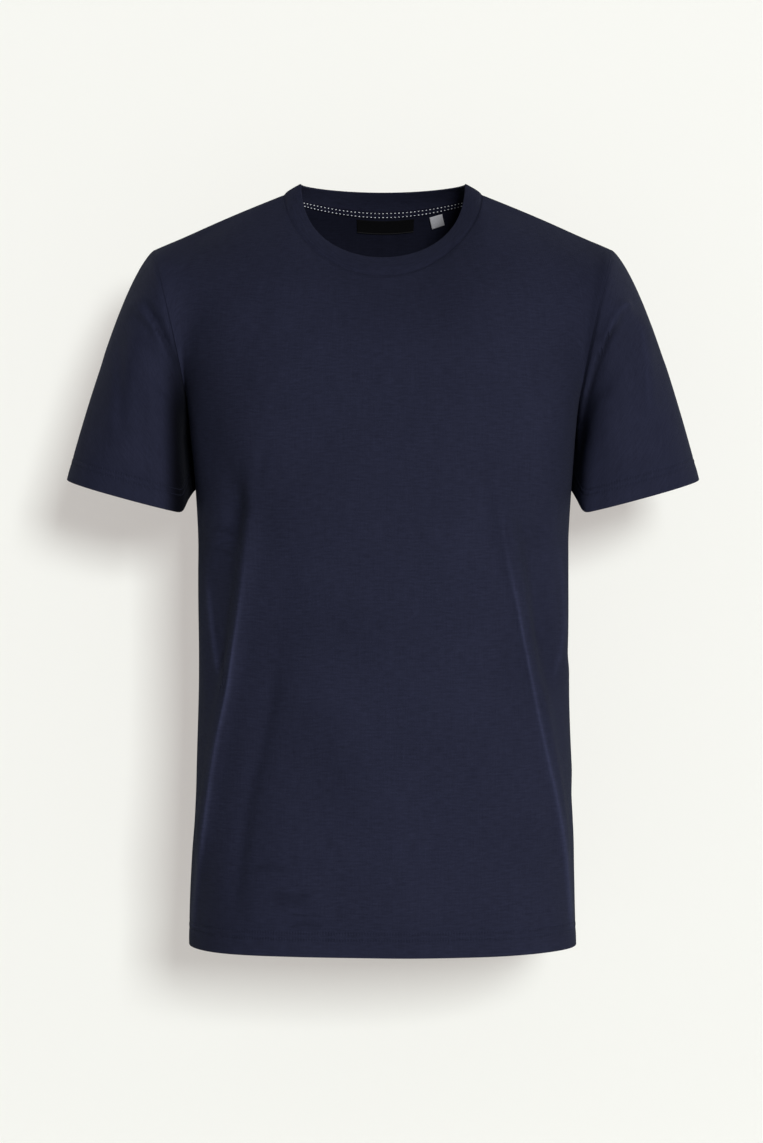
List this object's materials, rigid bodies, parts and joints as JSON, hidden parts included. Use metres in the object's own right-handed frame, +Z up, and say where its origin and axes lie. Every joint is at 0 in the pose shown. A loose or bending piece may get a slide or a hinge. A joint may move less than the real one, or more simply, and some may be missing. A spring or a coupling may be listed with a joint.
{
  "type": "crew neck t-shirt",
  "caption": "Short-sleeved crew neck t-shirt in its worn, hollow form, open at the neck, hem and cuffs, with a ribbed collar, a taped back neck, a bare label and a bare tab.",
  "frame": {"origin": "between the shoulders, level with the neck ends of the shoulder seams, where a wearer carries the shirt", "axes": "+Z up the wearer's body, -Y towards the front of the shirt, +X towards the wearer's left"},
  "size_m": [0.6124, 0.2443, 0.7366],
  "materials": {
    "navy_jersey": "smooth, faintly lustrous cotton jersey",
    "navy_rib": "fine cotton rib, folded double",
    "black_satin": "woven satin, bare",
    "silver_satin": "woven satin, bare"
  },
  "bodies": {
    "root": {"front": "navy_jersey", "back": "navy_jersey", "sleeve_right": "navy_jersey", "sleeve_left": "navy_jersey", "collar": "navy_rib", "neck_tape": "navy_jersey", "neck_label": "black_satin", "size_tab": "silver_satin"}
  },
  "joints": []
}
